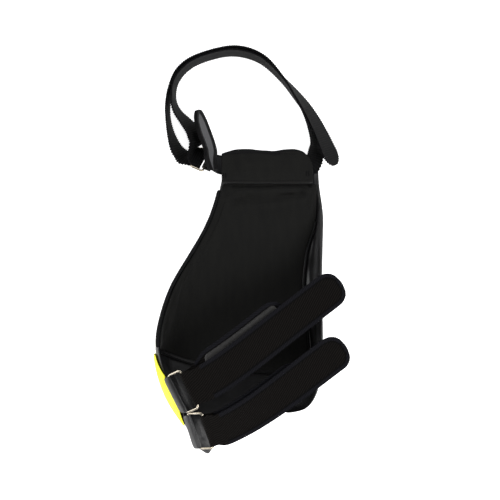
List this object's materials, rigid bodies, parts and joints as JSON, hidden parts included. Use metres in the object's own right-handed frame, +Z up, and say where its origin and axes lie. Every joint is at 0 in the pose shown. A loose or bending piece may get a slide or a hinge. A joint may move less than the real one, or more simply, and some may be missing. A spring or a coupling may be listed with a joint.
{
  "type": "thigh pad",
  "caption": "Padded thigh guard with a lined leg side, raised wings, elastic leg straps on wire rings and a buckled waist belt, lying on its outer face.",
  "frame": {"origin": "on the surface that the pad lies on, under the middle of the whole piece", "axes": "+Z up from the outer face to the leg side, +Y from the knee end to the waist belt, +X towards the right wing"},
  "size_m": [0.2691, 0.5712, 0.0784],
  "materials": {
    "black_pu": "semi-gloss coated PU with a fine grain",
    "lining": "matte brushed knit lining",
    "binding": "folded binding tape",
    "yellow_pu": "bright yellow coated PU",
    "webbing": "ribbed woven webbing",
    "steel": "pale plated steel wire",
    "grey_tape": "dark grey woven tape",
    "elastic": "ribbed elastic loop tape with a bound edge",
    "hook_tape": "grey hook tape"
  },
  "bodies": {
    "root": {"outer_shell": "black_pu", "inner_pad": "lining", "rim_binding": "binding", "seam_piping": "binding", "hem_piping": "binding", "yellow_panel": "yellow_pu", "belt_tunnel": "lining", "waist_belt": "webbing", "belt_buckle": "steel", "belt_tab": "grey_tape", "belt_tongue": "grey_tape", "leg_strap_upper": "elastic", "leg_strap_lower": "elastic", "hook_patch_upper": "hook_tape", "hook_patch_lower": "hook_tape", "strap_ring_upper": "steel", "strap_ring_lower": "steel", "ring_tab_upper": "black_pu", "ring_tab_lower": "black_pu"}
  },
  "joints": []
}
